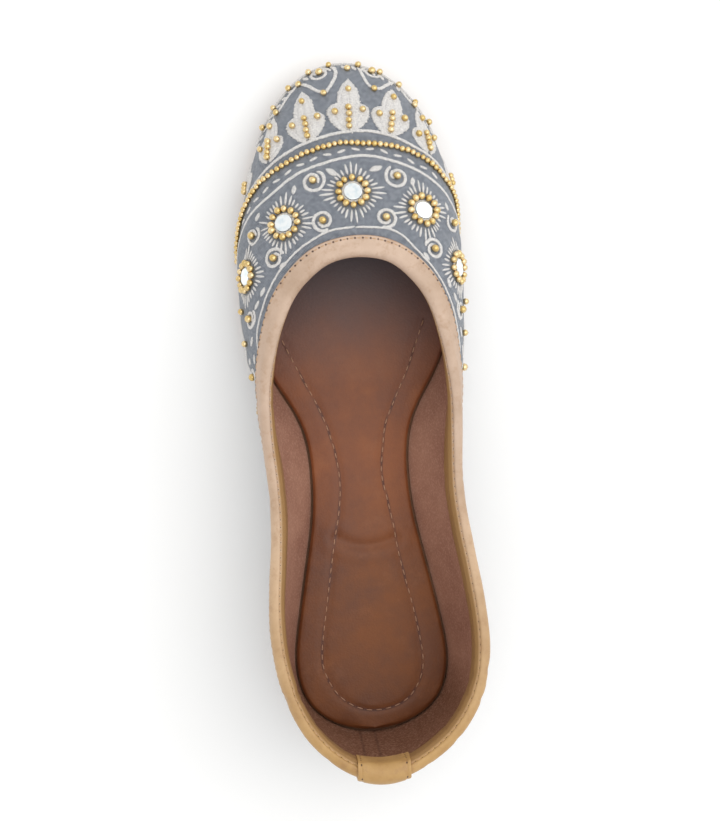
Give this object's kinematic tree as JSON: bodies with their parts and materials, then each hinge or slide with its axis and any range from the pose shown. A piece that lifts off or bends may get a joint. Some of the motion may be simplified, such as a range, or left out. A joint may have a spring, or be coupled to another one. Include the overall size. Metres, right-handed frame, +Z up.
{
  "type": "mojari shoe",
  "caption": "Flat slip-on mojari shoe with an embroidered grey fabric upper, a wide open throat, a tan leather collar binding, a folded heel tab and a leather sole.",
  "frame": {"origin": "on the floor plane, under the middle of the shoe's bounding box", "axes": "+Y from the heel to the toe, +X to the right seen from above with the toe pointing away, +Z up from the floor"},
  "size_m": [0.0787, 0.2462, 0.0624],
  "materials": {
    "outsole_leather": "matte vegetable-tanned sole leather",
    "insole_leather": "smooth rust brown leather with a stitched border",
    "upper_fabric": "blue-grey plain-woven fabric",
    "binding_leather": "satin tan leather, folded and stitched",
    "tab_leather": "satin tan leather"
  },
  "bodies": {
    "root": {"outsole": "outsole_leather", "insole": "insole_leather", "upper": "upper_fabric", "collar_binding": "binding_leather", "heel_tab": "tab_leather"}
  },
  "joints": []
}
